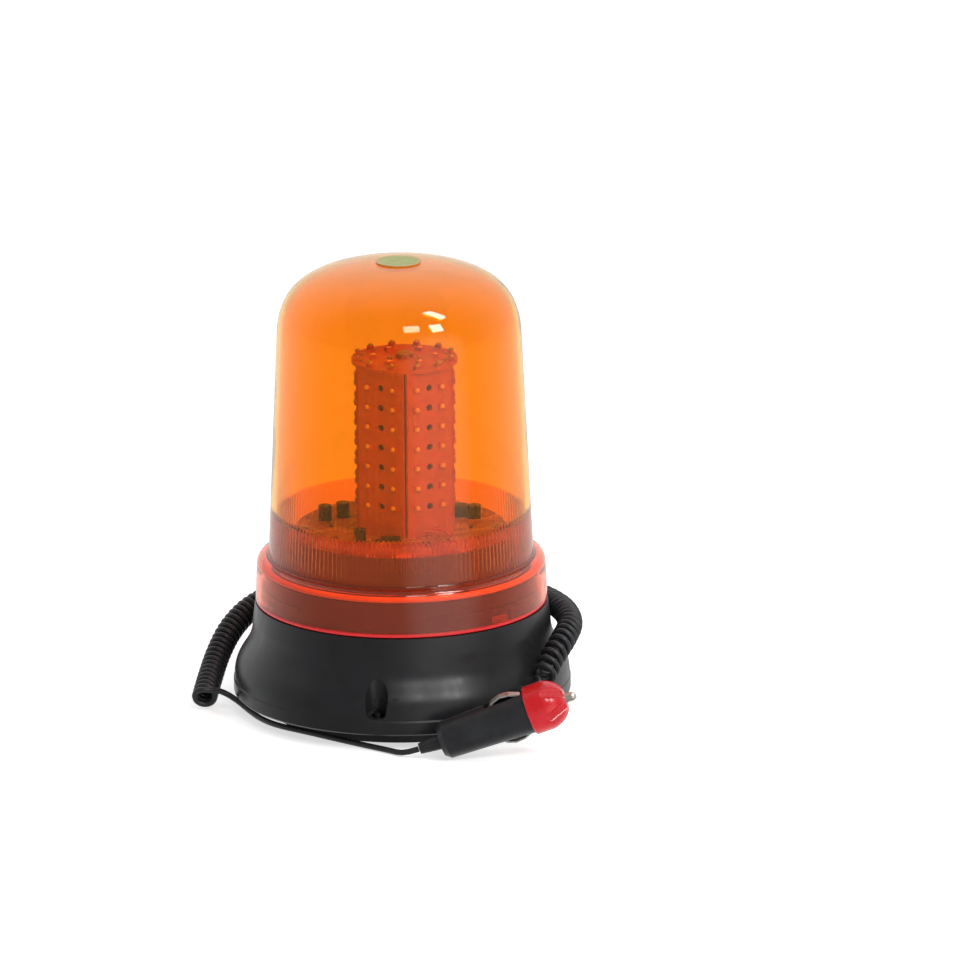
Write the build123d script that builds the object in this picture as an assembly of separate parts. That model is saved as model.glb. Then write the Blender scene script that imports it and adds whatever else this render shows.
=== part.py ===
from build123d import *
import os
from math import cos, radians, sin, tan

# Magnetic warning beacon: amber lens over a six-sided LED tower, flared base, curly cord and 12 V plug.
# Millimetres. +Z is up, the front is -Y and the right side is +X. The origin is the centre of the foot's
# underside. Azimuths are in degrees from the front towards the right side.

# ---- driving dimensions ----
total_height = 216.0
base_radius = 80.0
lens_wall = 2.5
housing_wall = 3.0

foot_radius = 64.0
foot_top = 8.0
lip_top = 14.4
flare_top = 43.0
skirt_bottom = 52.6
deck_top = 65.0
neck_radius = 64.0
neck_top = 68.0

ledge_height = 74.5
ledge_outer_radius = 68.0
ledge_inner_radius = 62.7
skirt_radius = 69.2
dome_taper = 0.0473
dome_wall_top = 182.0
shoulder_height = 202.2
crown_reach = 46.0

board_top = 87.6
board_thickness = 1.6
board_radius = 50.0
tower_offset = 2.4
pillar_azimuths = (-81.0, 81.0, 180.0)
pillar_circle = 46.0
panel_top = 168.0
panel_face = 22.8
panel_width = 24.0
panel_hole_radius = 1.6
panel_count = 6
top_board_radius = 25.0
led_rows = 7
led_pitch = 9.57
top_led_row = 160.0
led_column = 6.8

pocket_azimuths = (-9.0, 111.0, 231.0)
pocket_circle = 76.6
pocket_radius = 5.3
pocket_floor = 16.0
pocket_bottom_round = 2.4
pocket_draft = 3.0
screw_circle = 74.2
screw_radius = 1.5
bayonet_count = 3
bayonet_start = 10.6
bayonet_arc = 62.0
lug_azimuth = 43.7
lug_arc = 8.0

gland_azimuth = 43.0
gland_height = 20.5
gland_radius = 3.6
gland_inner_end = 68.6
gland_elbow_circle = 84.2
wire_hole_circle = 45.4

cord_diameter = 2.8
curl_diameter = 12.0

plug_rear = (17.7, -88.1, 8.0)
plug_direction = (0.939, -0.041, 0.342)
plug_contact_side = (-0.33, -0.10, 0.94)
relief_length = 10.5
body_length = 43.8
cap_length = 17.9
pin_reach = 5.4
thread_radius = 8.0
thread_length = 6.2
fuse_bore = 3.6


def polar(radius, azimuth, height=0.0):
    """Point at a radius, an azimuth from the front towards the right side, and a height."""
    angle = radians(azimuth)
    return Vector(radius * sin(angle), -radius * cos(angle), height)


def ring(outer, inner, bottom, top):
    """Flat ring about the vertical axis."""
    thickness = top - bottom
    face = Circle(outer) - Circle(inner)
    return Pos(0, 0, bottom) * extrude(face, thickness)


def disc(radius, bottom, top, centre=(0.0, 0.0)):
    """Upright cylinder between two heights."""
    x, y = centre
    return Pos(x, y, bottom) * extrude(Circle(radius), top - bottom)


def block(size, centre):
    """Box of a size about a centre."""
    return Pos(*centre) * Box(*size)


def turned(*lines):
    """Solid of revolution about the vertical axis; lines are drawn as (radius, height)."""
    edges = [edge for line in lines for edge in line.edges()]
    face = Plane.XZ * make_face(edges)
    return revolve(face, axis=Axis.Z)


def ring_sector(outer, inner, bottom, top, start, arc):
    """Part of a ring that starts at an azimuth and spans an arc in degrees."""
    section = Plane.XZ * Pos((outer + inner) / 2, (bottom + top) / 2) * Rectangle(outer - inner, top - bottom)
    sector = revolve(section, axis=Axis.Z, revolution_arc=arc)
    return Rot(0, 0, start - 90) * sector


# ---- cord tubes ----
def corner_radii(points):
    """Radius of the arc at each inner point of a route."""
    corners = [Vector(*point) for point in points]
    radii = []
    for before, corner, after in zip(corners, corners[1:], corners[2:]):
        arriving = corner - before
        leaving = after - corner
        half_turn = radians(arriving.get_angle(leaving)) / 2
        shorter_run = min(arriving.length, leaving.length)
        radii.append(0.45 * shorter_run / tan(half_turn))
    return radii


def tube(name, points, diameter):
    """Round tube along straight runs joined by tangent arcs."""
    if len(points) == 2:
        path = Line(*points)
        radii = []
    else:
        radii = corner_radii(points)
        path = FilletPolyline(*points, radius=radii)
    section = Plane(origin=path @ 0, z_dir=path % 0) * Circle(diameter / 2)
    solid = sweep(section, path=path)
    expected = Circle(diameter / 2).area * path.length
    print(name, "length", round(path.length, 1), "volume ratio", round(solid.volume / expected, 4),
          "radii", [round(radius, 1) for radius in radii])
    return solid


# ---- base ----
def make_foot_pad():
    """Rubber pad that covers the magnet's face."""
    pad = ring(foot_radius, 6.0, 0.0, 1.5)
    rim = ring(foot_radius, 62.4, 1.5, 5.0)
    return pad + rim


def make_magnet_cup():
    """Steel pot that closes the magnet's field towards the foot."""
    cup = ring(62.2, 4.2, 1.5, foot_top)
    channel = ring(59.5, 24.0, 1.5, 6.2)
    bolt_recess = disc(7.2, 1.5, 5.2)
    return cup - channel - bolt_recess


def make_magnet_ring():
    return ring(59.0, 24.5, 1.6, 6.2)


def make_magnet_bolt():
    head = Pos(0, 0, 2.4) * extrude(RegularPolygon(6.6, 6), 2.8)
    shank = disc(4.0, 5.2, 21.0)
    return head + shank


def make_magnet_nut():
    nut = Pos(0, 0, 11.0) * extrude(RegularPolygon(7.2, 6), 6.5)
    return nut - disc(4.0, 11.0, 17.5)


def make_base_plate():
    """Disc inside the housing's lip, drilled for the magnet bolt and the housing screws."""
    plate = ring(76.2, 4.2, foot_top, 11.0)
    for azimuth in pocket_azimuths:
        x, y, _ = polar(screw_circle, azimuth)
        plate -= disc(screw_radius, foot_top, 11.0, (x, y))
    return plate


def housing_shell():
    """Flared wall, neck and deck as one turned shell."""
    flare = Bezier((79.6, lip_top + 0.8), (79.6, 29), (70.8, 28), (70.5, flare_top))
    inside = Bezier((67.5, 41), (67.8, 27), (76.4, 28), (76.4, lip_top + 0.8))
    outer = Polyline((76.5, foot_top), (79.2, foot_top), (base_radius, 8.8), (base_radius, lip_top),
                     (79.6, lip_top + 0.8))
    neck = Polyline((70.5, flare_top), (69.3, 52.0), (neck_radius, 52.0), (neck_radius, 66.4),
                    (65.2, 66.4), (65.2, neck_top), (62.2, neck_top), (62.2, deck_top), (0, deck_top),
                    (0, deck_top - housing_wall), (61.0, deck_top - housing_wall), (61.0, 51.0),
                    (66.6, 48.0), (67.5, 41))
    lip = Line((76.4, lip_top + 0.8), (76.5, foot_top))
    return turned(outer, flare, neck, inside, lip)


def housing_envelope():
    """The housing's outside as a full solid, which limits the screw bosses."""
    flare = Bezier((79.6, lip_top + 0.8), (79.6, 29), (70.8, 28), (70.5, flare_top))
    side = Polyline((0, 11.0), (79.0, 11.0), (79.6, lip_top + 0.8))
    top = Polyline((70.5, flare_top), (69.3, 52.0), (0, 52.0), (0, 11.0))
    return turned(side, flare, top)


def pocket_plane(azimuth, bottom):
    """Plane across a screw pocket, which leans outwards by its draft angle."""
    lean = polar(sin(radians(pocket_draft)), azimuth, cos(radians(pocket_draft)))
    return Plane(origin=polar(pocket_circle, azimuth, bottom), z_dir=lean)


def pocket_cavity():
    """Upright pocket with a rounded bottom edge."""
    side = FilletPolyline((0, 0), (pocket_radius, 0), (pocket_radius, 34.0), radius=pocket_bottom_round)
    middle = Polyline((pocket_radius, 34.0), (0, 34.0), (0, 0))
    return turned(side, middle)


def make_base_housing():
    """Flared cover with three screw pockets, the bayonet neck and the cable hole."""
    housing = housing_shell()
    envelope = housing_envelope()
    for azimuth in pocket_azimuths:
        boss = pocket_plane(azimuth, 10.0) * extrude(Circle(pocket_radius + 2.2), 40.0)
        housing += boss & envelope
    for azimuth in pocket_azimuths:
        x, y, _ = polar(screw_circle, azimuth)
        housing -= pocket_plane(azimuth, pocket_floor) * pocket_cavity()
        housing -= disc(2.9, pocket_floor, pocket_floor + 8.0, (x, y))
        housing -= disc(screw_radius + 0.15, 11.0, pocket_floor, (x, y))
    for index in range(bayonet_count):
        start = bayonet_start + 120 * index
        housing += ring_sector(65.4, 63.5, 58.6, 60.4, start, bayonet_arc)
        housing += ring_sector(65.4, 63.5, 53.0, 58.6, start + 39.5, 2.0)
        housing += ring_sector(64.5, 63.5, 54.6, 58.6, start, 1.6)
    for azimuth in pillar_azimuths:
        x, y, _ = polar(pillar_circle, azimuth)
        housing -= disc(1.5, deck_top - housing_wall, deck_top, (x, y))
    housing -= disc(3.1, deck_top - housing_wall, deck_top, (tower_offset, 0))
    x, y, _ = polar(wire_hole_circle, gland_azimuth)
    housing -= disc(4.0, deck_top - housing_wall, deck_top, (x, y))
    gland_hole = Plane(origin=polar(60.0, gland_azimuth, gland_height), z_dir=polar(1.0, gland_azimuth))
    housing -= gland_hole * extrude(Circle(gland_radius), 30.0)
    return housing


def make_housing_screws():
    screws = []
    for azimuth in pocket_azimuths:
        x, y, _ = polar(screw_circle, azimuth)
        head = disc(2.5, pocket_floor, pocket_floor + 2.0, (x, y))
        shank = disc(screw_radius, foot_top, pocket_floor, (x, y))
        slot = block((3.8, 0.8, 1.2), (x, y, pocket_floor + 1.9))
        screws.append(head + shank - slot)
    return screws


# ---- cable outlet ----
gland_elbow = polar(gland_elbow_circle, gland_azimuth, gland_height)
cord_start_direction = Vector(0.636, 0.643, 0.426).normalized()
coil_direction = Vector(0.278, 0.843, 0.459).normalized()
lead_start = gland_elbow + cord_start_direction * 7.5
lead_bend = gland_elbow + cord_start_direction * 12.5
coil_start = lead_bend + coil_direction * 5.0


def make_cable_gland():
    """Rubber elbow: a stub through the wall with a flange, and a tapered sleeve along the cord."""
    outward = polar(1.0, gland_azimuth)
    stub_start = polar(gland_inner_end, gland_azimuth, gland_height)
    stub_length = gland_elbow_circle - gland_inner_end + 3.2
    body = Plane(origin=stub_start, z_dir=outward) * extrude(Circle(gland_radius), stub_length)
    flange_start = polar(80.3, gland_azimuth, gland_height)
    body += Plane(origin=flange_start, z_dir=outward) * extrude(Circle(5.2), 1.4)
    sleeve_outline = Polyline((0, -3.0), (3.3, -3.0), (3.3, 3.0), (2.2, 7.5), (0, 7.5), (0, -3.0))
    sleeve_plane = Plane(origin=gland_elbow, z_dir=cord_start_direction)
    return body + sleeve_plane * turned(sleeve_outline)


def make_gland_nut():
    outward = polar(1.0, gland_azimuth)
    plane = Plane(origin=polar(69.4, gland_azimuth, gland_height), z_dir=outward)
    return plane * extrude(RegularPolygon(6.4, 6) - Circle(gland_radius), 3.0)


def make_lens_seal():
    return Pos(0, 0, neck_top + 1.5) * Torus(63.7, 1.5)


# ---- lens ----
def dome_radius(height):
    """Outer radius of the dome's tapered wall."""
    return ledge_inner_radius - dome_taper * (height - ledge_height)


def lens_body(inset, radii):
    """Full solid inside the lens surface, moved inwards by an inset."""
    top = total_height - inset
    ledge = ledge_height - inset
    shoulder = shoulder_height - 0.6 * inset
    wall_end = (dome_radius(dome_wall_top) - inset, dome_wall_top)
    crown = Bezier((0, top), (crown_reach - 0.6 * inset, top), (dome_radius(shoulder) - inset, shoulder),
                   wall_end)
    side = FilletPolyline(wall_end, (ledge_inner_radius - inset, ledge), (ledge_outer_radius - inset, ledge),
                          (skirt_radius - inset, skirt_bottom), radius=radii)
    foot = Polyline((skirt_radius - inset, skirt_bottom), (0, skirt_bottom), (0, top))
    return turned(crown, side, foot)


def make_lens_dome():
    """Tapered dome on a stepped skirt, with three bayonet lugs inside the skirt."""
    outside = lens_body(0.0, [1.5, 4.5])
    inside = lens_body(lens_wall, [4.0, 2.0])
    lens = outside - inside
    for index in range(bayonet_count):
        start = lug_azimuth - lug_arc / 2 + 120 * index
        lens += ring_sector(67.2, 64.8, 54.0, 57.0, start, lug_arc)
    return lens


def make_top_label():
    return disc(10.6, total_height, total_height + 0.4)


# ---- electronics ----
def make_board_pillars():
    pillars = []
    for azimuth in pillar_azimuths:
        x, y, _ = polar(pillar_circle, azimuth)
        column = extrude(RegularPolygon(3.1, 6), board_top - board_thickness - deck_top)
        pillar = Pos(x, y, deck_top) * column
        thread = disc(1.5, deck_top - 5.0, deck_top, (x, y))
        pillar += thread
        pillar -= disc(1.25, board_top - board_thickness - 6.0, board_top - board_thickness, (x, y))
        pillars.append(pillar)
    return pillars


def make_driver_board():
    board = disc(board_radius, board_top - board_thickness, board_top)
    for azimuth in pillar_azimuths:
        x, y, _ = polar(pillar_circle, azimuth)
        board -= disc(1.6, board_top - board_thickness, board_top, (x, y))
    board -= disc(3.1, board_top - board_thickness, board_top, (tower_offset, 0))
    return board


def make_board_screws():
    screws = []
    for azimuth in pillar_azimuths:
        x, y, _ = polar(pillar_circle, azimuth)
        head = disc(2.7, board_top, board_top + 1.8, (x, y))
        shank = disc(1.25, board_top - 6.5, board_top, (x, y))
        cross = block((3.4, 0.8, 1.0), (x, y, board_top + 1.7)) + block((0.8, 3.4, 1.0), (x, y, board_top + 1.7))
        screws.append(head + shank - cross)
    return screws


def make_board_capacitors():
    """Upright electrolytic capacitors: place, radius and height."""
    cans = (((-36.0, 12.0), 3.2, 7.0), ((-27.5, 17.0), 3.2, 7.0), ((-19.0, -31.0), 2.8, 7.5),
            ((35.0, 13.0), 3.2, 6.2))
    solids = []
    for centre, radius, height in cans:
        can = disc(radius, board_top, board_top + height, centre)
        groove = Pos(centre[0], centre[1], board_top + 1.6) * Torus(radius, 0.35)
        solids.append(can - groove)
    return solids


def make_board_inductor():
    core = disc(4.0, board_top, board_top + 5.0, (28.5, 17.5))
    waist = disc(4.1, board_top + 1.2, board_top + 3.8, (28.5, 17.5)) - disc(3.3, board_top, 100.0, (28.5, 17.5))
    return core - waist


def make_board_regulator():
    """Flat power package with its tab."""
    package = block((9.0, 5.0, 3.2), (-5.0, -31.0, board_top + 1.6))
    tab = block((3.2, 4.0, 0.8), (-11.0, -31.0, board_top + 0.4))
    return package + tab


def make_board_resistors():
    """Small flat chips: place and turn."""
    chips = ((-42.0, -12.0, 20.0), (-38.0, -20.0, 65.0), (-31.0, -28.0, 40.0), (12.0, -40.0, 0.0),
             (22.0, -35.0, 30.0), (33.0, -4.0, 90.0), (-33.0, 0.0, 90.0), (8.0, 38.0, 0.0), (-12.0, 36.0, 15.0))
    solids = []
    for x, y, turn in chips:
        solids.append(Pos(x, y, board_top + 0.4) * Rot(0, 0, turn) * Box(3.2, 1.6, 0.8))
    return solids


# ---- LED tower ----
def on_panel(index, solid):
    """Turns a solid drawn on the panel that faces -Y to its place on the tower."""
    return Pos(tower_offset, 0, 0) * Rot(0, 0, 30 + 60 * index) * solid


def led_places():
    """Sideways place and height of each LED of a panel."""
    places = []
    for row in range(led_rows):
        height = top_led_row - led_pitch * row
        places.append((-led_column, height))
        places.append((led_column, height))
    return places


def make_tower_core():
    """Six-sided tube behind the panels."""
    outer_radius = (panel_face - board_thickness - 0.1) / cos(radians(30))
    walls = RegularPolygon(outer_radius, 6) - RegularPolygon(outer_radius - 1.8, 6)
    tube_part = Pos(0, 0, board_top) * extrude(walls, panel_top - board_top)
    floor_part = Pos(0, 0, board_top) * extrude(RegularPolygon(outer_radius, 6) - Circle(3.1), 2.5)
    return Pos(tower_offset, 0, 0) * Rot(0, 0, 30) * (tube_part + floor_part)


def make_led_panel(index):
    """Circuit board with a middle column of holes and two tabs at its top edge."""
    middle = -panel_face + board_thickness / 2
    height = panel_top - board_top
    panel = block((panel_width, board_thickness, height), (0, middle, board_top + height / 2))
    for side in (-1, 1):
        panel += block((3.0, board_thickness, 3.4), (side * 5.9, middle, panel_top + 1.7))
    for row in range(led_rows):
        centre = Pos(0, middle, top_led_row - led_pitch * row)
        panel -= centre * Rot(90, 0, 0) * Cylinder(panel_hole_radius, board_thickness)
    return on_panel(index, panel)


def make_panel_leds(index):
    leds = []
    for x, z in led_places():
        package = block((3.5, 0.8, 2.8), (x, -panel_face - 0.4, z))
        leds.append(on_panel(index, package))
    return leds


def make_top_board():
    """Round board on the panels' top edges, slotted for their tabs."""
    board = disc(top_board_radius, panel_top, panel_top + board_thickness, (tower_offset, 0))
    middle = -panel_face + board_thickness / 2
    for index in range(panel_count):
        for side in (-1, 1):
            slot = block((3.2, board_thickness + 0.2, 4.0), (side * 5.9, middle, panel_top + 1.0))
            board -= on_panel(index, slot)
    board -= disc(2.6, panel_top, panel_top + board_thickness, (tower_offset, 0))
    return board


def make_top_leds():
    leds = []
    for index in range(panel_count):
        package = block((3.5, 2.8, 1.7), (0, -14.5, panel_top + board_thickness + 0.85))
        leds.append(on_panel(index, package))
    return leds


def make_top_pins():
    """Three small solder pins round the tower bolt."""
    pins = []
    for index in range(3):
        centre = polar(8.0, 60 + 120 * index)
        x, y = centre.X + tower_offset, centre.Y
        pins.append(disc(1.2, panel_top + board_thickness, panel_top + board_thickness + 1.4, (x, y)))
    return pins


def make_tower_bolt():
    """Long bolt from the top board through the driver board into the deck."""
    head = disc(4.2, panel_top + board_thickness, panel_top + board_thickness + 2.2, (tower_offset, 0))
    shank = disc(2.5, 56.0, panel_top + board_thickness, (tower_offset, 0))
    return head + shank


def make_tower_nut():
    nut = Pos(tower_offset, 0, deck_top - housing_wall - 4.0) * extrude(RegularPolygon(4.6, 6), 4.0)
    return nut - disc(2.5, 50.0, deck_top, (tower_offset, 0))


def make_supply_wire(name, side):
    """Wire from the gland up through the deck to the driver board."""
    sideways = polar(1.2 * side, gland_azimuth + 90)
    stations = ((gland_inner_end, gland_height), (60.8, gland_height), (53.0, 29.0), (48.0, 44.0),
                (wire_hole_circle, 60.0), (44.0, 72.0), (44.0, board_top - board_thickness))
    route = [polar(radius, gland_azimuth, height) + sideways for radius, height in stations]
    return tube(name, route, 1.6)


def make_tower_wires():
    """Two short leads from the tower's foot to the driver board."""
    solids = []
    for step in (0.0, 4.0):
        route = [(8.0 + step, -28.5 + step, board_top), (8.0 + step, -28.5 + step, board_top + 3.0),
                 (12.5 + step, -27.5 + step, board_top + 5.6), (18.0 + step, -26.8 + step, board_top + 3.0),
                 (18.0 + step, -26.8 + step, board_top)]
        solids.append(tube("tower_wires", route, 1.2))
    return solids


# ---- free cord ----
plug_axis = Vector(*plug_direction).normalized()
plug_tail_end = Vector(*plug_rear) - plug_axis * relief_length
coil_route = [
    coil_start,
    coil_start + coil_direction * 10.0,
    polar(80.6, 71.0, 38.6),
    polar(81.0, 90.0, 39.8),
    polar(80.4, 112.0, 40.0),
    polar(79.6, 136.0, 40.0),
    polar(79.6, 160.0, 40.0),
    polar(79.6, 184.0, 40.0),
    polar(80.2, 207.0, 39.6),
    (-56.0, 58.5, 38.5),
    (-71.5, 46.0, 35.5),
    (-81.5, 33.5, 28.5),
    (-87.6, 20.0, 20.0),
    (-91.6, 4.0, 11.6),
    (-94.0, -12.5, 6.5),
]
tail_route = [
    (-90.8, -8.5, 10.2),
    (-86.2, -8.3, 9.4),
    (-81.8, -9.6, 7.3),
    (-77.0, -13.5, 5.0),
    (-72.0, -20.5, 2.6),
    (-66.0, -30.5, 1.45),
    (-58.0, -40.5, 1.45),
    (-46.5, -49.0, 1.45),
    (-35.0, -58.5, 1.45),
    (-24.5, -66.8, 1.45),
    (-15.0, -74.0, 1.45),
    (-6.5, -80.3, 1.45),
    plug_tail_end - plug_axis * 7.7,
    plug_tail_end,
]


# ---- plug ----
plug_plane = Plane(origin=plug_rear, x_dir=plug_contact_side, z_dir=plug_direction)
cap_start = body_length
cap_end = body_length + cap_length
slot_start = body_length - 19.2


def plug_turned(*lines):
    """Solid of revolution about the plug's axis; lines are drawn as (radius, distance from the rear)."""
    return plug_plane * turned(*lines)


def make_plug_strain_relief():
    """Tapered rubber sleeve at the plug's rear."""
    outline = Polyline((0, -relief_length), (2.6, -relief_length), (3.6, -1.0), (3.6, 0.0), (5.0, 0.0),
                       (5.0, 3.0), (0, 3.0), (0, -relief_length))
    return plug_turned(outline)


def make_plug_body():
    """Moulded shell with a threaded neck, a fuse bore and a slot for each side contact."""
    outline = Polyline((0, 0), (7.0, 0), (9.0, 2.6), (10.4, cap_start), (thread_radius, cap_start),
                       (thread_radius, cap_start + thread_length), (0, cap_start + thread_length), (0, 0))
    body = turned(outline)
    body -= disc(5.0, 0.0, 3.0)
    body -= disc(fuse_bore, 9.0, cap_start + thread_length)
    body -= disc(1.0, 3.0, 9.0)
    for side in (-1, 1):
        body -= block((6.0, 4.8, 19.2), (side * (6.3 + 3.0), 0, slot_start + 9.6))
    body -= Pos(0, -8.4, 12.0) * Rot(90, 0, 0) * Cylinder(2.4, 3.0)
    return plug_plane * body


def make_plug_screw():
    head = Pos(0, -8.0, 12.0) * Rot(90, 0, 0) * Cylinder(2.2, 1.8)
    slot = block((3.6, 0.8, 0.7), (0, -8.9, 12.0))
    return plug_plane * (head - slot)


def make_plug_cap():
    """Red nose: a collar that screws over the neck, with a fluted conical front."""
    shoulder = cap_start + 8.6
    front = Bezier((11.6, shoulder), (11.4, cap_end - 5.0), (8.0, cap_end - 0.6), (4.4, cap_end))
    collar = Polyline((0, cap_start), (11.2, cap_start), (11.6, cap_start + 0.6), (11.6, shoulder))
    end = Polyline((4.4, cap_end), (0, cap_end), (0, cap_start))
    cap = turned(collar, front, end)
    cap -= disc(thread_radius + 0.05, cap_start, cap_start + 7.2)
    cap -= disc(4.4, cap_start + 7.2, cap_end - 3.2)
    cap -= disc(2.32, cap_end - 3.2, cap_end)
    for index in range(6):
        groove = Pos(10.5, 0, cap_end - 3.0) * Rot(0, -36, 0) * Cylinder(3.3, 16.0)
        cap -= Rot(0, 0, 40 + 60 * index) * groove
    return plug_plane * cap


def make_plug_pin():
    """Centre contact with a round tip and a flange behind the cap's shoulder."""
    flange_top = cap_end - 3.4
    tip_centre = cap_end + pin_reach - 2.25
    pin = disc(3.9, flange_top - 2.0, flange_top) + disc(2.25, flange_top, tip_centre)
    pin += Pos(0, 0, tip_centre) * Sphere(2.25)
    return plug_plane * pin


def make_plug_spring():
    """Compression spring between the fuse and the centre contact."""
    height = 12.0
    coil = Helix(pitch=2.0, height=height, radius=2.7)
    section = Plane(origin=coil @ 0, z_dir=coil % 0) * Circle(0.35)
    spring = sweep(section, path=coil, is_frenet=True)
    return plug_plane * Pos(0, 0, cap_end - 5.8 - height) * spring


def make_plug_fuse():
    """Glass fuse with two end caps."""
    glass = disc(2.6, 12.4, 42.4)
    rear_cap = disc(3.2, 12.4, 18.0)
    front_cap = disc(3.2, 36.8, 42.4)
    return plug_plane * (glass + rear_cap + front_cap)


def make_plug_contact(side):
    """Bowed leaf spring in the slot at one side of the plug."""
    bow = Polyline((7.1, 24.0), (8.0, 24.0), (10.8, 27.0), (12.2, 31.0), (11.8, 35.6), (9.7, 40.6),
                   (9.1, 40.4), (11.1, 35.4), (11.5, 31.2), (10.2, 27.5), (7.1, 25.2), (7.1, 24.0))
    leaf = Pos(0, 0, body_length - 41.8) * extrude(make_face(Plane.XZ * bow), 2.0, both=True)
    if side < 0:
        leaf = Rot(0, 0, 180) * leaf
    return plug_plane * leaf


def write(name, shape):
    """Writes one sub-part, joining a list of separate solids in one file."""
    part = Compound(children=shape) if isinstance(shape, list) else shape
    part.label = name
    export_step(part, f"parts/{name}.step")


def main():
    os.makedirs("parts", exist_ok=True)
    parts = {
        "foot_pad": make_foot_pad(),
        "magnet_cup": make_magnet_cup(),
        "magnet_ring": make_magnet_ring(),
        "magnet_bolt": make_magnet_bolt(),
        "magnet_nut": make_magnet_nut(),
        "base_plate": make_base_plate(),
        "base_housing": make_base_housing(),
        "housing_screws": make_housing_screws(),
        "cable_gland": make_cable_gland(),
        "gland_nut": make_gland_nut(),
        "lens_seal": make_lens_seal(),
        "lens_dome": make_lens_dome(),
        "top_label": make_top_label(),
        "board_pillars": make_board_pillars(),
        "driver_board": make_driver_board(),
        "board_screws": make_board_screws(),
        "board_capacitors": make_board_capacitors(),
        "board_inductor": make_board_inductor(),
        "board_regulator": make_board_regulator(),
        "board_resistors": make_board_resistors(),
        "tower_core": make_tower_core(),
        "top_board": make_top_board(),
        "top_leds": make_top_leds(),
        "top_pins": make_top_pins(),
        "tower_bolt": make_tower_bolt(),
        "tower_nut": make_tower_nut(),
        "supply_wire_positive": make_supply_wire("supply_wire_positive", 1),
        "supply_wire_negative": make_supply_wire("supply_wire_negative", -1),
        "tower_wires": make_tower_wires(),
        "cord_lead": tube("cord_lead", [lead_start, lead_bend, coil_start], cord_diameter),
        "cord_coil": tube("cord_coil", coil_route, curl_diameter),
        "cord_tail": tube("cord_tail", tail_route, cord_diameter),
        "plug_strain_relief": make_plug_strain_relief(),
        "plug_body": make_plug_body(),
        "plug_screw": make_plug_screw(),
        "plug_cap": make_plug_cap(),
        "plug_pin": make_plug_pin(),
        "plug_spring": make_plug_spring(),
        "plug_fuse": make_plug_fuse(),
        "plug_contact_upper": make_plug_contact(1),
        "plug_contact_lower": make_plug_contact(-1),
    }
    for index in range(panel_count):
        parts[f"led_panel_{index + 1}"] = make_led_panel(index)
        parts[f"panel_leds_{index + 1}"] = make_panel_leds(index)
    for name, shape in parts.items():
        write(name, shape)


main()
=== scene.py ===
import math

import bpy
from mathutils import Matrix, Vector


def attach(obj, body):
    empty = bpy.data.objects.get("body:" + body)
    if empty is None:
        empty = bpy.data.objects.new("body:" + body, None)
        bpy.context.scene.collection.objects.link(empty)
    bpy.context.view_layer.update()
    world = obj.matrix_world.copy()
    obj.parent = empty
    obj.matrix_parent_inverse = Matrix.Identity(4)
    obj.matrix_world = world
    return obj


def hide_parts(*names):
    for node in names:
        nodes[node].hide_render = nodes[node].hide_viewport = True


# Looks of a magnetic amber LED beacon with a curly cord and a 12 V plug.
# Metres, +Z up, the front is -Y and the right side is +X, as in the CAD frame.
# Constants without "* MM" are in mm, as are the profiles and the polar() places.

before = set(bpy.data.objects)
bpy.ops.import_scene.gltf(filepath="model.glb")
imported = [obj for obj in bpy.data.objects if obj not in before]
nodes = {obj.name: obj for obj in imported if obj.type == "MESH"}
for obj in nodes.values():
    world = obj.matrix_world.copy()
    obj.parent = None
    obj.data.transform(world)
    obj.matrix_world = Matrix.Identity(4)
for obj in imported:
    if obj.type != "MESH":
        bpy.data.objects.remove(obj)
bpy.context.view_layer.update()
MM = 0.001


# ---------------------------------------------------------------- camera
CAMERA_DISTANCE = 4.0
CAMERA_ELEVATION = math.radians(15.7)
CAMERA_ROLL = math.radians(-0.55)
CAMERA_LENS = 311.3
CAMERA_SHIFT = (0.0912, 0.0102)
TARGET = Vector((0.0, 0.0, 0.1))


def make_camera():
    data = bpy.data.cameras.new("camera")
    data.lens = CAMERA_LENS
    data.sensor_width = 36.0
    data.shift_x, data.shift_y = CAMERA_SHIFT
    data.clip_end = 50.0
    camera = bpy.data.objects.new("camera", data)
    bpy.context.collection.objects.link(camera)
    back = Vector((0.0, -math.cos(CAMERA_ELEVATION), math.sin(CAMERA_ELEVATION)))
    turn = (-back).to_track_quat("-Z", "Y").to_matrix().to_4x4()
    place = Matrix.Translation(TARGET + back * CAMERA_DISTANCE)
    camera.matrix_world = place @ turn @ Matrix.Rotation(CAMERA_ROLL, 4, "Z")
    bpy.context.scene.camera = camera


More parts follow.
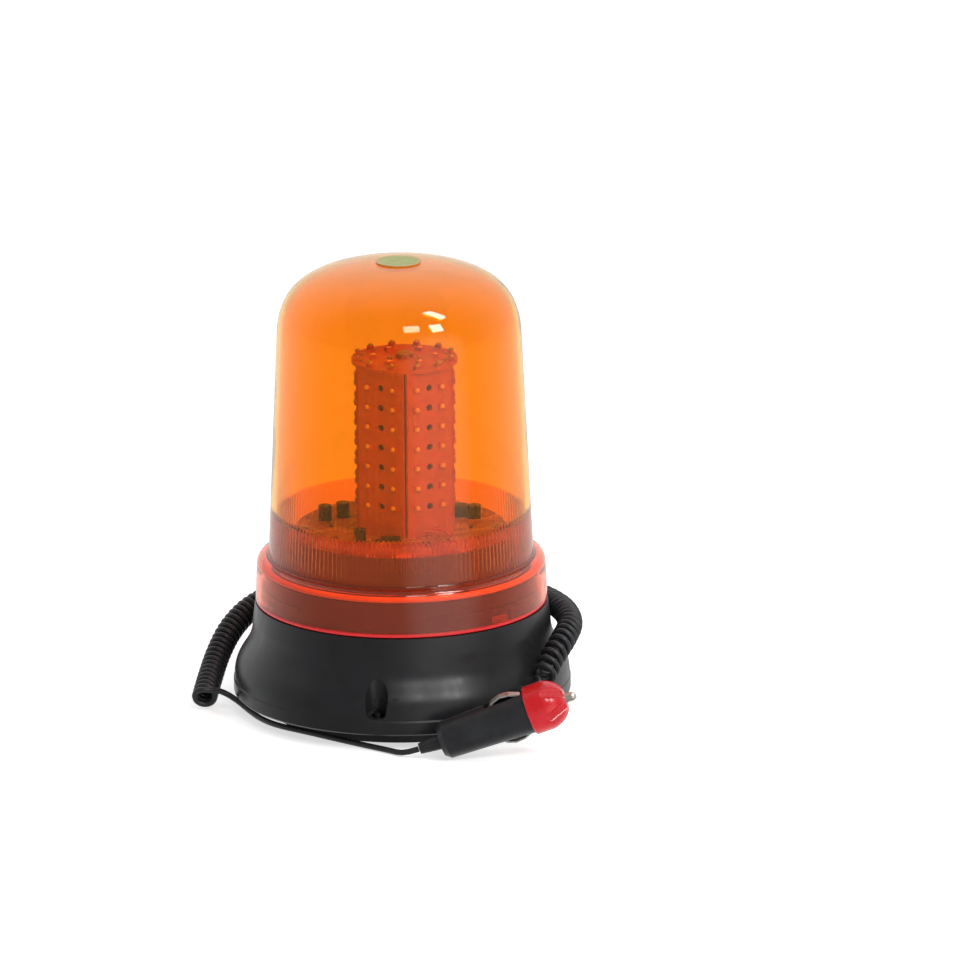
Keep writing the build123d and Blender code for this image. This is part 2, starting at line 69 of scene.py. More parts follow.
# ---------------------------------------------------------------- node helpers
class Tree:
    """Short calls for building a material's nodes."""

    def __init__(self, name):
        self.material = bpy.data.materials.new(name)
        self.material.use_nodes = True
        self.tree = self.material.node_tree
        self.tree.nodes.clear()
        self.output = self.add("ShaderNodeOutputMaterial")
        self.place = self.add("ShaderNodeTexCoord").outputs["Object"]

    def add(self, kind, **settings):
        node = self.tree.nodes.new(kind)
        for key, value in settings.items():
            setattr(node, key, value)
        return node

    def link(self, source, target):
        self.tree.links.new(source, target)

    def noise(self, scale, detail=3.0, stretch=(1.0, 1.0, 1.0)):
        """Noise from 0 to 1 in the object's metres."""
        mapping = self.add("ShaderNodeMapping")
        mapping.inputs["Scale"].default_value = stretch
        self.link(self.place, mapping.inputs["Vector"])
        node = self.add("ShaderNodeTexNoise")
        node.inputs["Scale"].default_value = scale
        node.inputs["Detail"].default_value = detail
        self.link(mapping.outputs["Vector"], node.inputs["Vector"])
        return node.outputs["Fac"]

    def ramp(self, value, low, high, start=0.0, end=1.0):
        """Maps a value's low to high onto start to end."""
        node = self.add("ShaderNodeMapRange")
        node.inputs["From Min"].default_value = low
        node.inputs["From Max"].default_value = high
        node.inputs["To Min"].default_value = start
        node.inputs["To Max"].default_value = end
        self.link(value, node.inputs["Value"])
        return node.outputs["Result"]

    def blend(self, share, first, second):
        """Mixes two colours, each given as numbers or as a socket."""
        node = self.add("ShaderNodeMix", data_type="RGBA")
        self.link(share, node.inputs[0])
        for socket, colour in ((node.inputs[6], first), (node.inputs[7], second)):
            if isinstance(colour, tuple):
                socket.default_value = (*colour, 1.0)
            else:
                self.link(colour, socket)
        return node.outputs[2]

    def maths(self, operation, first, second):
        node = self.add("ShaderNodeMath", operation=operation)
        for socket, value in ((node.inputs[0], first), (node.inputs[1], second)):
            if isinstance(value, float):
                socket.default_value = value
            else:
                self.link(value, socket)
        return node.outputs[0]

    def bump(self, height, distance, strength=1.0, below=None):
        node = self.add("ShaderNodeBump")
        node.inputs["Distance"].default_value = distance
        node.inputs["Strength"].default_value = strength
        self.link(height, node.inputs["Height"])
        if below is not None:
            self.link(below, node.inputs["Normal"])
        return node.outputs["Normal"]

    def principled(self, colour, roughness, normal=None, **values):
        node = self.add("ShaderNodeBsdfPrincipled")
        self.link(colour, node.inputs["Base Color"])
        self.link(roughness, node.inputs["Roughness"])
        if normal is not None:
            self.link(normal, node.inputs["Normal"])
        for key, value in values.items():
            node.inputs[key.replace("_", " ")].default_value = value
        return node.outputs["BSDF"]

    def finish(self, shader):
        self.link(shader, self.output.inputs["Surface"])
        return self.material


def moulded(name, dark, light, rough, cloud=60.0, grain=1800.0, grain_depth=0.00002, **values):
    """Moulded plastic or rubber: cloudy colour, uneven gloss and a fine grain."""
    t = Tree(name)
    colour = t.blend(t.ramp(t.noise(cloud), 0.35, 0.65), dark, light)
    scuffs = t.ramp(t.noise(cloud * 6.0, 5.0, (1.0, 1.0, 0.3)), 0.3, 0.7, rough[0], rough[1])
    normal = t.bump(t.noise(grain, 2.0), grain_depth)
    return t.finish(t.principled(colour, scuffs, normal, **values))


def metal(name, dark, light, rough, stretch=(1.0, 1.0, 1.0), scale=900.0):
    """Plated metal with faint tool marks along one direction."""
    t = Tree(name)
    colour = t.blend(t.ramp(t.noise(120.0), 0.35, 0.65), dark, light)
    marks = t.noise(scale, 3.0, stretch)
    shine = t.ramp(marks, 0.3, 0.7, rough[0], rough[1])
    normal = t.bump(marks, 0.000015)
    return t.finish(t.principled(colour, shine, normal, Metallic=1.0))


def laminate(name, mask, trace, scale, rough=(0.35, 0.5)):
    """Circuit board: solder resist over copper tracks, with pad dots."""
    t = Tree(name)
    brick = t.add("ShaderNodeTexBrick", offset=0.35, squash=0.6)
    brick.inputs["Scale"].default_value = scale
    brick.inputs["Mortar Size"].default_value = 0.035
    t.link(t.place, brick.inputs["Vector"])
    dots = t.add("ShaderNodeTexVoronoi")
    dots.inputs["Scale"].default_value = scale * 2.2
    t.link(t.place, dots.inputs["Vector"])
    pads = t.ramp(dots.outputs["Distance"], 0.16, 0.2, 1.0, 0.0)
    gate = t.ramp(t.noise(scale * 0.6), 0.52, 0.58)
    copper = t.maths("MAXIMUM", t.maths("MULTIPLY", brick.outputs["Fac"], gate), pads)
    cloudy = t.blend(t.ramp(t.noise(scale), 0.3, 0.7), mask, tuple(c * 1.25 for c in mask))
    colour = t.blend(copper, cloudy, trace)
    shine = t.ramp(t.noise(scale * 4.0), 0.3, 0.7, rough[0], rough[1])
    return t.finish(t.principled(colour, shine, t.bump(copper, 0.00005)))


def amber(name, tint, haze, milkiness, shadow_tint):
    """Clear tinted plastic. Lamps shine through it, so what is inside is lit."""
    t = Tree(name)
    flow = t.noise(26.0, 2.0)
    colour = t.blend(t.ramp(flow, 0.3, 0.7), tint, tuple(c * 0.96 for c in tint))
    rough = t.ramp(t.noise(420.0, 4.0), 0.35, 0.75, 0.012, haze)
    normal = t.bump(flow, 0.0002)
    glass = t.principled(colour, rough, normal, IOR=1.49, Transmission_Weight=1.0 - milkiness)
    clear = t.add("ShaderNodeBsdfTransparent")
    clear.inputs["Color"].default_value = (*shadow_tint, 1.0)
    mix = t.add("ShaderNodeMixShader")
    t.link(t.add("ShaderNodeLightPath").outputs["Is Shadow Ray"], mix.inputs[0])
    t.link(glass, mix.inputs[1])
    t.link(clear.outputs["BSDF"], mix.inputs[2])
    return t.finish(mix.outputs["Shader"])


# ---------------------------------------------------------------- materials
BASE_BLACK = moulded("base_black", (0.011, 0.0113, 0.0122), (0.016, 0.0164, 0.018), (0.28, 0.38),
                     cloud=35.0, grain=1500.0, grain_depth=0.000006, Specular_IOR_Level=0.38)
PAD_RUBBER = moulded("pad_rubber", (0.012, 0.012, 0.013), (0.022, 0.022, 0.024), (0.7, 0.85))
CORD_BLACK = moulded("cord_black", (0.012, 0.0125, 0.014), (0.021, 0.022, 0.025), (0.36, 0.5),
                     cloud=90.0, grain=3000.0, grain_depth=0.00001)
PLUG_BLACK = moulded("plug_black", (0.012, 0.0125, 0.014), (0.02, 0.021, 0.024), (0.33, 0.46),
                     cloud=70.0, grain=3200.0, grain_depth=0.000015)
PLUG_RED = moulded("plug_red", (0.52, 0.006, 0.012), (0.62, 0.01, 0.018), (0.22, 0.34), cloud=80.0,
                   grain=2400.0, grain_depth=0.00001, Coat_Weight=0.3)
SEAL_ORANGE = moulded("seal_orange", (0.92, 0.75, 0.28), (0.99, 0.88, 0.4), (0.4, 0.5))
# Near-black steel for the housing screws: painted shade of the pockets they sit in.
POCKET_SHADE_STEEL = metal("steel_painted_pocket_shade", (0.03, 0.03, 0.03), (0.06, 0.06, 0.06), (0.4, 0.55))
STEEL = metal("plated_steel", (0.42, 0.4, 0.37), (0.62, 0.6, 0.56), (0.25, 0.42))
NICKEL = metal("contact_nickel", (0.78, 0.74, 0.67), (0.92, 0.89, 0.83), (0.28, 0.42), (1.0, 6.0, 1.0))
FERRITE = moulded("ferrite", (0.02, 0.02, 0.021), (0.045, 0.044, 0.043), (0.5, 0.7), grain=2200.0)
BOARD = laminate("board_laminate", (0.28, 0.14, 0.06), (0.75, 0.5, 0.25), 130.0)
PANEL = laminate("panel_laminate", (0.47, 0.135, 0.12), (0.56, 0.21, 0.17), 150.0)
LED_BODY = moulded("led_body", (0.49, 0.165, 0.14), (0.58, 0.22, 0.17), (0.3, 0.45), cloud=300.0)
LED_WINDOW = moulded("led_window", (0.85, 0.78, 0.55), (0.98, 0.93, 0.78), (0.12, 0.25), cloud=400.0,
                     Coat_Weight=0.5)
CAN = moulded("capacitor_can", (0.01, 0.011, 0.014), (0.02, 0.022, 0.028), (0.2, 0.35))
COMPONENT = moulded("component_black", (0.012, 0.012, 0.012), (0.03, 0.03, 0.03), (0.35, 0.5))
CORE = moulded("core_plastic", (0.015, 0.014, 0.013), (0.03, 0.028, 0.026), (0.6, 0.75))
WIRE_RED = moulded("wire_red", (0.4, 0.05, 0.02), (0.5, 0.07, 0.03), (0.35, 0.5))
WIRE_BLACK = moulded("wire_black", (0.012, 0.012, 0.012), (0.02, 0.02, 0.02), (0.35, 0.5))
FUSE = moulded("fuse_glass", (0.75, 0.78, 0.78), (0.85, 0.88, 0.88), (0.05, 0.12),
               Transmission_Weight=0.6)
DOME_AMBER = amber("dome_amber", (0.905, 0.425, 0.03), 0.03, 0.01, (0.97, 0.42, 0.07))
# The rib, collar and edge copies are darker and redder than the dome's amber, though the lens is one
# part: painted shade of the dark base seen through the ribs, ledge and skirt.
RIB_AMBER_PAINTED_SHADE = amber("rib_amber_painted_shade", (0.94, 0.25, 0.06), 0.03, 0.06, (0.96, 0.32, 0.06))
COLLAR_AMBER_PAINTED_SHADE = amber("collar_amber_painted_shade", (0.94, 0.24, 0.12), 0.03, 0.05, (0.96, 0.45, 0.12))
EDGE_AMBER_PAINTED_SHADE = amber("edge_amber_painted_shade", (0.95, 0.07, 0.08), 0.1, 0.5, (0.95, 0.3, 0.1))


def label_material():
    """Plain round film: a green disc with a paler rim, no print."""
    t = Tree("label_sheet")
    radius = t.add("ShaderNodeVectorMath", operation="LENGTH")
    flat = t.add("ShaderNodeVectorMath", operation="MULTIPLY")
    flat.inputs[1].default_value = (1.0, 1.0, 0.0)
    t.link(t.place, flat.inputs[0])
    t.link(flat.outputs["Vector"], radius.inputs[0])
    rim = t.ramp(radius.outputs["Value"], 0.0085, 0.0088)
    fibres = t.blend(t.ramp(t.noise(700.0), 0.3, 0.7), (0.3, 0.34, 0.06), (0.4, 0.42, 0.1))
    colour = t.blend(rim, fibres, (0.5, 0.36, 0.12))
    shine = t.ramp(t.noise(300.0), 0.3, 0.7, 0.3, 0.45)
    return t.finish(t.principled(colour, shine, t.bump(t.noise(900.0), 0.00002)))


LABEL = label_material()

NODE_MATERIALS = {
    "foot_pad": PAD_RUBBER, "magnet_cup": STEEL, "magnet_ring": FERRITE, "magnet_bolt": STEEL,
    "magnet_nut": STEEL, "base_plate": BASE_BLACK, "base_housing": BASE_BLACK,
    "housing_screws": POCKET_SHADE_STEEL, "cable_gland": CORD_BLACK, "gland_nut": BASE_BLACK,
    "lens_seal": SEAL_ORANGE, "top_label": LABEL,
    "board_pillars": STEEL, "driver_board": BOARD, "board_screws": STEEL, "board_capacitors": CAN,
    "board_inductor": COMPONENT, "board_regulator": COMPONENT, "board_resistors": COMPONENT,
    "tower_core": CORE, "top_board": PANEL, "top_leds": LED_BODY, "top_pins": STEEL, "tower_bolt": STEEL,
    "tower_nut": STEEL, "supply_wire_positive": WIRE_RED, "supply_wire_negative": WIRE_BLACK,
    "tower_wires": WIRE_RED, "plug_strain_relief": CORD_BLACK, "plug_body": PLUG_BLACK,
    "plug_screw": STEEL, "plug_cap": PLUG_RED, "plug_pin": NICKEL, "plug_spring": STEEL,
    "plug_fuse": FUSE, "plug_contact_upper": NICKEL, "plug_contact_lower": NICKEL,
}
for index in range(1, 7):
    NODE_MATERIALS[f"led_panel_{index}"] = PANEL
    NODE_MATERIALS[f"panel_leds_{index}"] = LED_BODY


def dress_nodes():
    for name, material in NODE_MATERIALS.items():
        mesh = nodes[name].data
        mesh.materials.clear()
        mesh.materials.append(material)


# ---------------------------------------------------------------- mesh helpers
def mesh_object(name, vertices, faces, materials, smooth=True):
    mesh = bpy.data.meshes.new(name)
    mesh.from_pydata([tuple(v) for v in vertices], [], faces)
    for material in materials:
        mesh.materials.append(material)
    mesh.polygons.foreach_set("use_smooth", [smooth] * len(mesh.polygons))
    mesh.validate()
    mesh.update()
    piece = bpy.data.objects.new(name, mesh)
    bpy.context.collection.objects.link(piece)
    return piece


def arc(centre, radius, start, end, steps):
    """Points of an arc in the (radius, height) plane, angles in degrees from the radius axis."""
    points = []
    for step in range(steps + 1):
        angle = math.radians(start + (end - start) * step / steps)
        points.append((centre[0] + radius * math.cos(angle), centre[1] + radius * math.sin(angle)))
    return points


def polar(radius, azimuth, height):
    """Point at a radius and an azimuth from the front towards the right side, from mm to metres."""
    angle = math.radians(azimuth)
    return Vector((radius * math.sin(angle), -radius * math.cos(angle), height)) * MM


# ---------------------------------------------------------------- amber lens
RIB_COUNT = 160
STEPS_PER_RIB = 4
RIB_DEPTH = 0.55
RIB_LOW, RIB_HIGH = 72.6, 95.6
LENS_WALL = 2.5
LEDGE_Z = 74.5
SKIRT_Z = 52.6
SKIRT_TOP = 72.2
LEDGE_TOP = 74.6
LEDGE_INNER_RADIUS = 63.5
FOOT_EDGE_Z = 53.9
TOP_Z = 216.0
LEDGE_RADIUS = 62.7
WALL_TAPER = 0.0473
WALL_TOP = 182.0
SHOULDER_Z = 202.2
CROWN_REACH = 46.0
WALL_HEIGHTS = (99.0, 108.0, 120.0, 132.0, 144.0, 156.0, 166.0, 176.0)


def wall_radius(z, inset):
    """Radius of the tapered wall at a height."""
    return LEDGE_RADIUS - WALL_TAPER * (z - LEDGE_Z) - inset


def crown(inset, steps=28):
    """Profile of the rounded top in mm, from beside its middle to the tapered wall."""
    shoulder = SHOULDER_Z - 0.6 * inset
    corners = ((0.0, TOP_Z - inset), (CROWN_REACH - 0.6 * inset, TOP_Z - inset),
               (wall_radius(shoulder, inset), shoulder), (wall_radius(WALL_TOP, inset), WALL_TOP))
    points = []
    for step in range(1, steps + 1):
        t = step / steps
        weights = ((1 - t) ** 3, 3 * t * (1 - t) ** 2, 3 * t * t * (1 - t), t ** 3)
        points.append(tuple(sum(w * corner[axis] for w, corner in zip(weights, corners))
                            for axis in (0, 1)))
    return points


def dome_outside():
    """Profile of the outer surface in mm, from the top's middle down to the skirt's foot."""
    points = crown(0.0)
    points += [(wall_radius(z, 0.0), z) for z in WALL_HEIGHTS[::-1]]
    points += [(wall_radius(z, 0.0), z) for z in (RIB_HIGH, 90.0, 84.0, 78.0)]
    points += arc((LEDGE_RADIUS + 1.4, 76.0), 1.5, 183.0, 270.0, 4)
    points += arc((64.3, 70.5), 4.0, 90.0, 4.0, 8)
    return points + [(68.6, 66.0), (68.85, 60.0), (69.05, FOOT_EDGE_Z), (69.1, 53.2), (68.9, SKIRT_Z)]


def dome_inside():
    """Profile of the inner surface in mm, from the skirt's foot up to the top's middle."""
    points = [(66.9, SKIRT_Z), (66.6, 53.4), (66.55, FOOT_EDGE_Z), (66.5, 60.0), (66.1, 66.0)]
    points += [(65.9, 68.6)] + arc((63.6, 69.7), 2.3, 0.0, 90.0, 5)
    points += [(62.2, 72.0), (61.0, SKIRT_TOP), (60.3, RIB_LOW)]
    heights = (73.2, 78.0, 84.0, 90.0, 95.0, RIB_HIGH) + WALL_HEIGHTS
    points += [(wall_radius(z, LENS_WALL), z) for z in heights]
    return points + crown(LENS_WALL)[::-1]


def make_lens():
    """Dome, ledge and skirt as one closed wall, with prism ribs inside the dome's foot."""
    outside = dome_outside()
    inside = dome_inside()
    rings = outside + inside
    around = RIB_COUNT * STEPS_PER_RIB
    vertices = [(0.0, 0.0, TOP_Z * MM)]
    for index, (radius, height) in enumerate(rings):
        ribbed = index >= len(outside) and RIB_LOW < height < RIB_HIGH
        for step in range(around):
            angle = 2.0 * math.pi * step / around
            phase = (step % STEPS_PER_RIB) / STEPS_PER_RIB
            tooth = RIB_DEPTH * (1.0 - abs(2.0 * phase - 1.0)) if ribbed else 0.0
            reach = (radius - tooth) * MM
            vertices.append((reach * math.sin(angle), -reach * math.cos(angle), height * MM))
    vertices.append((0.0, 0.0, (TOP_Z - LENS_WALL) * MM))
    faces = []
    for step in range(around):
        following = (step + 1) % around
        faces.append((0, 1 + step, 1 + following))
        for ring in range(len(rings) - 1):
            low = 1 + ring * around
            high = low + around
            faces.append((low + step, high + step, high + following, low + following))
        last = 1 + (len(rings) - 1) * around
        faces.append((last + step, len(vertices) - 1, last + following))
    ambers = [DOME_AMBER, COLLAR_AMBER_PAINTED_SHADE, RIB_AMBER_PAINTED_SHADE, EDGE_AMBER_PAINTED_SHADE]
    lens = mesh_object("amber_lens", vertices, faces, ambers)
    # The ledge, skirt, ribs and foot edge take the darker amber copies: painted shade.
    for polygon in lens.data.polygons:
        radius = math.hypot(polygon.center.x, polygon.center.y)
        height = polygon.center.z
        ledge = height < LEDGE_TOP * MM and radius > LEDGE_INNER_RADIUS * MM
        if height < FOOT_EDGE_Z * MM:
            amber_here = EDGE_AMBER_PAINTED_SHADE
        elif height < SKIRT_TOP * MM or ledge:
            amber_here = COLLAR_AMBER_PAINTED_SHADE
        elif height < RIB_HIGH * MM:
            amber_here = RIB_AMBER_PAINTED_SHADE
        else:
            amber_here = DOME_AMBER
        polygon.material_index = ambers.index(amber_here)
    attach(lens, "lens")
    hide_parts("lens_dome")


def ring_sector(name, outer, inner, bottom, top, start, span, material, steps=8):
    """Short bar that follows the rim, in mm and degrees of azimuth."""
    vertices = []
    for step in range(steps + 1):
        angle = math.radians(start + span * step / steps)
        for radius, height in ((outer, bottom), (outer, top), (inner, top), (inner, bottom)):
            vertices.append((radius * MM * math.sin(angle), -radius * MM * math.cos(angle), height * MM))
    faces = [(0, 1, 2, 3), tuple(4 * steps + corner for corner in (3, 2, 1, 0))]
    for step in range(steps):
        for corner in range(4):
            after = (corner + 1) % 4
            near, far = 4 * step, 4 * step + 4
            faces.append((near + corner, far + corner, far + after, near + after))
    piece = mesh_object(name, vertices, faces, [material], smooth=False)
    bevel = piece.modifiers.new("edge", "BEVEL")
    bevel.width = 0.0003
    bevel.segments = 2
    return piece


LUG_OUTER, LUG_INNER = 66.45, 64.8
LUG_BOTTOM, LUG_TOP = 54.0, 57.0
LUG_START, LUG_SPAN = 39.7, 8.0


def make_lens_lugs():
    """Three bayonet lugs inside the skirt."""
    for index in range(3):
        # The lugs take the collar's darker amber copy: painted shade.
        lug = ring_sector(f"lens_lug_{index + 1}", LUG_OUTER, LUG_INNER, LUG_BOTTOM, LUG_TOP,
                          LUG_START + 120 * index, LUG_SPAN, COLLAR_AMBER_PAINTED_SHADE)
        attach(lug, "lens")


# ---------------------------------------------------------------- tower details
TOWER_OFFSET = 2.4
PANEL_TOP = 168.0
BOARD_TOP = 87.6
LED_ROWS = [160.0 - 9.57 * row for row in range(7)]
LED_SIDE = 6.8
LED_FACE = -23.58
WINDOW_WIDTH = 2.3 * MM
WINDOW_HEIGHT = 0.55 * MM
TOP_LED_REACH = -14.5
TOP_LED_FACE = PANEL_TOP + 3.28
TAB_SIDE = 5.9
RING_PADS = 36


def on_panel(index, point):
    """Place on the tower, in metres, of a point drawn on the panel that faces -Y, in mm."""
    turned = Matrix.Rotation(math.radians(30 + 60 * index), 4, "Z") @ Vector(point)
    return (turned + Vector((TOWER_OFFSET, 0.0, 0.0))) * MM


def blob(vertices, faces, centre, along, width, height, around=12, rings=3, stretch=1.0):
    """Adds a low round cap to a mesh: its centre, the way it points, and its size in metres."""
    along = along.normalized()
    side = along.orthogonal().normalized()
    if abs(along.z) < 0.5:
        side = along.cross(Vector((0.0, 0.0, 1.0))).normalized()
    other = along.cross(side)
    first = len(vertices)
    for ring in range(rings):
        rise = math.pi / 2 * ring / rings
        for step in range(around):
            angle = 2.0 * math.pi * step / around
            reach = width / 2 * math.cos(rise)
            spread = side * math.cos(angle) * reach * stretch + other * math.sin(angle) * reach
            vertices.append(centre + spread + along * (height * math.sin(rise)))
    vertices.append(centre + along * height)
    for ring in range(rings - 1):
        for step in range(around):
            following = (step + 1) % around
            low = first + ring * around
            faces.append((low + step, low + following, low + around + following, low + around + step))
    last = first + (rings - 1) * around
    for step in range(around):
        faces.append((last + step, last + (step + 1) % around, len(vertices) - 1))
    faces.append(tuple(first + step for step in reversed(range(around))))


def make_led_windows():
    """Clear round window on each LED package."""
    for index in range(6):
        vertices, faces = [], []
        outward = on_panel(index, (0, -1, 0)) - on_panel(index, (0, 0, 0))
        for height in LED_ROWS:
            for side in (-LED_SIDE, LED_SIDE):
                place = on_panel(index, (side, LED_FACE, height))
                blob(vertices, faces, place, outward, WINDOW_WIDTH, WINDOW_HEIGHT)
        windows = mesh_object(f"led_windows_{index + 1}", vertices, faces, [LED_WINDOW])
        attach(windows, "base")
    vertices, faces = [], []
    for index in range(6):
        place = on_panel(index, (0, TOP_LED_REACH, TOP_LED_FACE))
        blob(vertices, faces, place, Vector((0.0, 0.0, 1.0)), WINDOW_WIDTH, WINDOW_HEIGHT)
    windows = mesh_object("top_led_windows", vertices, faces, [LED_WINDOW])
    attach(windows, "base")


def make_solder():
    """Solder on the panels' tabs, on the top board and on the driver board."""
    vertices, faces = [], []
    up = Vector((0.0, 0.0, 1.0))
    for index in range(6):
        for side in (-TAB_SIDE, TAB_SIDE):
            tab = on_panel(index, (side, -22.0, PANEL_TOP + 3.2))
            blob(vertices, faces, tab, up, 2.6 * MM, 1.3 * MM, stretch=1.2)
            joint = on_panel(index, (side, -19.6, PANEL_TOP + 1.55))
            blob(vertices, faces, joint, up, 2.4 * MM, 1.0 * MM)
    for step in range(RING_PADS):
        angle = 360.0 / RING_PADS * step
        radius = 47.2 if step % 2 else 44.6
        if step % 9 != 4:
            blob(vertices, faces, polar(radius, angle, BOARD_TOP - 0.02), up, 1.5 * MM, 0.7 * MM)
    solder = mesh_object("solder", vertices, faces, [STEEL])
    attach(solder, "base")


# ---------------------------------------------------------------- cord
CORD_DIAMETER = 2.8 * MM
COIL_RADIUS = 4.95 * MM
STEPS_PER_TURN = 14


def spline_object(name, points, bevel=0.0):
    """Smooth curve with the points as its control points."""
    data = bpy.data.curves.new(name, "CURVE")
    data.dimensions = "3D"
    data.resolution_u = 3 if bevel else 12
    spline = data.splines.new("NURBS")
    spline.points.add(len(points) - 1)
    for control, point in zip(spline.points, points):
        control.co = (*point, 1.0)
    spline.order_u = 3
    spline.use_endpoint_u = True
    data.bevel_depth = bevel
    data.bevel_resolution = 3
    data.use_fill_caps = bool(bevel)
    piece = bpy.data.objects.new(name, data)
    bpy.context.collection.objects.link(piece)
    return piece


def spline_points(points):
    """Points along the smooth curve through a route."""
    guide = spline_object("guide", points)
    mesh = bpy.data.meshes.new_from_object(guide)
    line = [vertex.co.copy() for vertex in mesh.vertices]
    bpy.data.objects.remove(guide)
    bpy.data.meshes.remove(mesh)
    return line


def unit(x, y, z):
    return Vector((x, y, z)).normalized()


GLAND_ELBOW = polar(84.2, 43.0, 20.5)
LEAD_DIRECTION = unit(0.636, 0.643, 0.426)
COIL_DIRECTION = unit(0.278, 0.843, 0.459)
LEAD_START = GLAND_ELBOW + LEAD_DIRECTION * 7.5 * MM
LEAD_BEND = GLAND_ELBOW + LEAD_DIRECTION * 12.5 * MM
COIL_START = LEAD_BEND + COIL_DIRECTION * 5.0 * MM
PLUG_AXIS = unit(0.939, -0.041, 0.342)
PLUG_REAR = Vector((17.7, -88.1, 8.0)) * MM
PLUG_TAIL_END = PLUG_REAR - PLUG_AXIS * 10.5 * MM

COIL_ROUTE = [
    COIL_START,
    COIL_START + COIL_DIRECTION * 10.0 * MM,
    polar(80.6, 71.0, 38.6),
    polar(81.0, 90.0, 39.8),
    polar(80.4, 112.0, 40.0),
    polar(79.6, 136.0, 40.0),
    polar(79.6, 160.0, 40.0),
    polar(79.6, 184.0, 40.0),
    polar(80.2, 207.0, 39.6),
    Vector((-56.0, 58.5, 38.5)) * MM,
    Vector((-71.5, 46.0, 35.5)) * MM,
    Vector((-81.5, 33.5, 28.5)) * MM,
    Vector((-87.6, 20.0, 20.0)) * MM,
    Vector((-91.6, 4.0, 11.6)) * MM,
    Vector((-94.0, -12.5, 6.5)) * MM,
]
TAIL_ROUTE = [Vector(point) * MM for point in (
    (-86.8, -9.6, 9.9),
    (-81.8, -9.6, 7.3),
    (-77.0, -13.5, 5.0),
    (-72.0, -20.5, 2.6),
    (-66.0, -30.5, 1.45),
    (-58.0, -40.5, 1.45),
    (-46.5, -49.0, 1.45),
    (-35.0, -58.5, 1.45),
    (-24.5, -66.8, 1.45),
    (-15.0, -74.0, 1.45),
    (-6.5, -80.3, 1.45),
)] + [PLUG_TAIL_END - PLUG_AXIS * 7.7 * MM, PLUG_TAIL_END]
COIL_EXIT_SIDE = Vector((0.3, 0.0, 0.95))


START_PITCH = 13.0 * MM
OPEN_PITCH = 5.2 * MM
CLOSED_PITCH = 3.2 * MM
START_SHARE, OPEN_SHARE, CLOSED_SHARE = 0.02, 0.22, 0.7


def turn_pitch(share):
    """Distance between turns along the coil: open at the right, nearly closed at the left end."""
    if share < START_SHARE:
        return START_PITCH
    if share < OPEN_SHARE:
        return OPEN_PITCH
    if share < CLOSED_SHARE:
        closing = (share - OPEN_SHARE) / (CLOSED_SHARE - OPEN_SHARE)
        return OPEN_PITCH - closing * 1.9 * MM
    return CLOSED_PITCH


def helix_points():
    """Turns of the curly cord about the coil's smooth centre line."""
    line = spline_points([LEAD_START, LEAD_BEND] + COIL_ROUTE)
    total = sum((after - before).length for before, after in zip(line, line[1:]))
    side = (line[1] - line[0]).orthogonal().normalized()
    points = []
    sides = []
    angle = 0.0
    travelled = 0.0
    due = 2.0 * MM
    for before, after in zip(line, line[1:]):
        along = (after - before).normalized()
        side = (side - along * side.dot(along)).normalized()
        other = along.cross(side)
        length = (after - before).length
        while due < travelled + length:
            centre = before + along * (due - travelled)
            opening = min(1.0, 0.1 + due / (12.0 * MM))
            unevenness = 0.985 + 0.015 * math.cos(due / (9.0 * MM)) * math.cos(due / (23.0 * MM))
            radius = COIL_RADIUS * opening * unevenness
            sides.append(side * math.cos(angle) + other * math.sin(angle))
            points.append(centre + sides[-1] * radius)
            angle -= 2.0 * math.pi / STEPS_PER_TURN
            due += turn_pitch(due / total) / STEPS_PER_TURN
        travelled += length
    last_turn = range(len(points) - STEPS_PER_TURN, len(points))
    exit_step = max(last_turn, key=lambda step: sides[step].dot(COIL_EXIT_SIDE))
    return points[:exit_step + 1]


def make_cord():
    """One cord: out of the gland, through the coil's turns and along the floor to the plug."""
    turns = helix_points()
    controls = [LEAD_START, LEAD_START + LEAD_DIRECTION * 1.2 * MM] + turns + TAIL_ROUTE
    cord = spline_object("curly_cord", controls, CORD_DIAMETER / 2)
    cord.data.materials.append(CORD_BLACK)
    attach(cord, "base")
    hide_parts("cord_lead", "cord_coil", "cord_tail")


# ---------------------------------------------------------------- studio
FLOOR_REACH = 20.0
FLOOR_Z = -0.0002
GLOW_DIRECTION = (0.56, -0.82, -0.08)
LIGHT_AIM = Vector((0.0, 0.0, 0.15))


def make_floor():
    """Pale studio table that runs far past the view."""
    t = Tree("floor_paper")
    colour = t.blend(t.ramp(t.noise(3.0), 0.3, 0.7), (0.9, 0.9, 0.9), (0.93, 0.93, 0.93))
    shine = t.ramp(t.noise(60.0), 0.3, 0.7, 0.85, 0.95)
    paper = t.finish(t.principled(colour, shine, Specular_IOR_Level=0.1,
                                  Emission_Color=(1.0, 1.0, 1.0, 1.0), Emission_Strength=0.6))
    corners = [(x * FLOOR_REACH, y * FLOOR_REACH, FLOOR_Z)
               for x, y in ((-1, -1), (1, -1), (1, 1), (-1, 1))]
    floor = mesh_object("floor", corners, [(0, 1, 2, 3)], [paper], smooth=False)
    floor.visible_glossy = False


def smooth_range(tree, value, low, high, start, end):
    """World node that eases a value's low to high onto start to end."""
    node = tree.nodes.new("ShaderNodeMapRange")
    node.interpolation_type = "SMOOTHSTEP"
    for name, number in (("From Min", low), ("From Max", high), ("To Min", start), ("To Max", end)):
        node.inputs[name].default_value = number
    tree.links.new(value, node.inputs["Value"])
    return node.outputs["Result"]


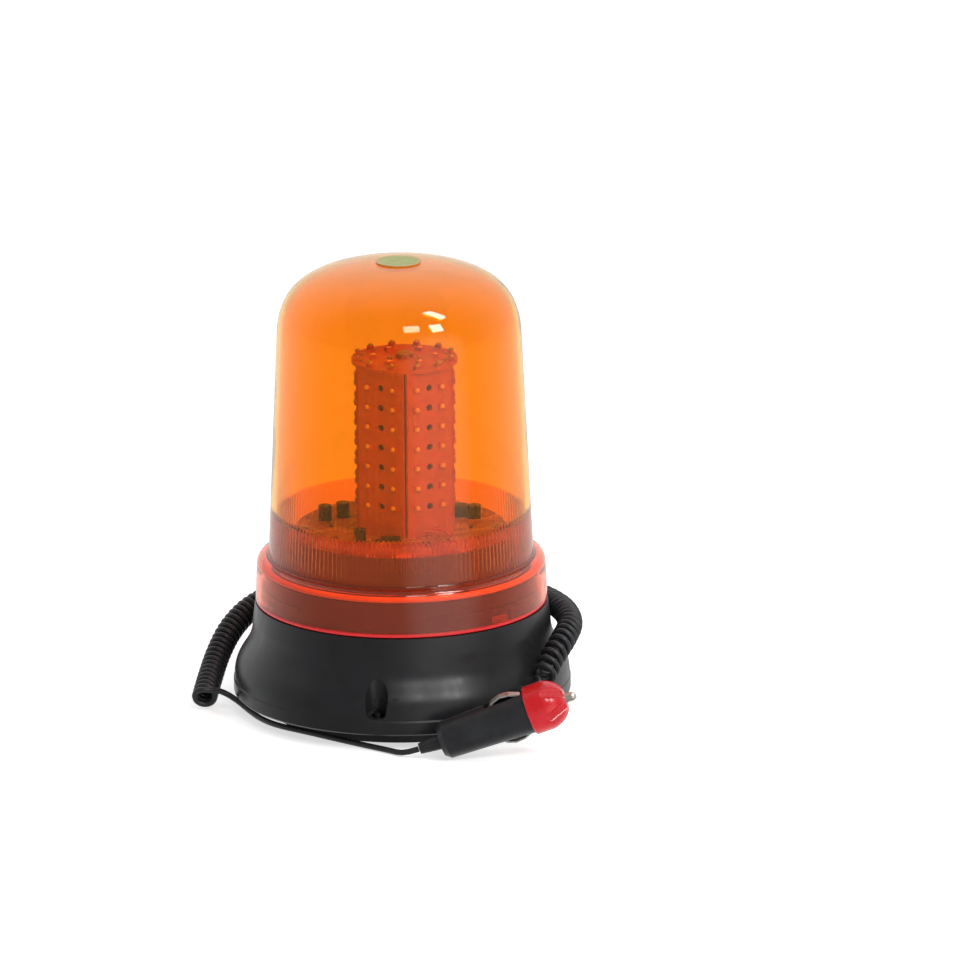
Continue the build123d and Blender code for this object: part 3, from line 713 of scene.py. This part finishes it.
def make_world():
    """Soft white surround, brighter behind the object, with a soft glow from the front right."""
    world = bpy.data.worlds.new("studio")
    bpy.context.scene.world = world
    world.use_nodes = True
    tree = world.node_tree
    background = tree.nodes["Background"]
    background.inputs["Color"].default_value = (1.0, 1.0, 1.0, 1.0)
    direction = tree.nodes.new("ShaderNodeTexCoord").outputs["Generated"]
    parts = tree.nodes.new("ShaderNodeSeparateXYZ")
    tree.links.new(direction, parts.inputs["Vector"])
    towards_glow = tree.nodes.new("ShaderNodeVectorMath")
    towards_glow.operation = "DOT_PRODUCT"
    towards_glow.inputs[1].default_value = GLOW_DIRECTION
    tree.links.new(direction, towards_glow.inputs[0])
    both = tree.nodes.new("ShaderNodeMath")
    fade = smooth_range(tree, parts.outputs["Y"], -0.5, 0.75, 0.2, 0.95)
    glow = smooth_range(tree, towards_glow.outputs["Value"], 0.8, 0.98, 0.0, 0.9)
    tree.links.new(fade, both.inputs[0])
    tree.links.new(glow, both.inputs[1])
    tree.links.new(both.outputs["Value"], background.inputs["Strength"])


def window_light(name, azimuth, elevation, distance, size, power):
    """Softbox at a direction from the front towards the right side, in degrees."""
    turn, rise = math.radians(azimuth), math.radians(elevation)
    reach = math.cos(rise) * distance
    data = bpy.data.lights.new(name, "AREA")
    data.shape = "RECTANGLE"
    data.size, data.size_y = size
    data.energy = power
    light = bpy.data.objects.new(name, data)
    bpy.context.collection.objects.link(light)
    light.location = (math.sin(turn) * reach, -math.cos(turn) * reach, 0.2 + math.sin(rise) * distance)
    light.rotation_euler = (LIGHT_AIM - light.location).to_track_quat("-Z", "Y").to_euler()


def make_lights():
    window_light("window_upper", 60.0, 60.0, 2.4, (0.3, 0.85), 13.0)
    window_light("window_lower", 41.0, 35.5, 2.2, (0.4, 0.56), 12.0)
    window_light("window_left", 13.5, 39.0, 2.2, (0.54, 0.5), 8.0)


# ---------------------------------------------------------------- build
make_camera()
dress_nodes()
make_lens()
make_lens_lugs()
make_led_windows()
make_solder()
make_cord()
make_floor()
make_world()
make_lights()

scene = bpy.context.scene
scene.view_settings.view_transform = "Standard"
scene.view_settings.look = "None"
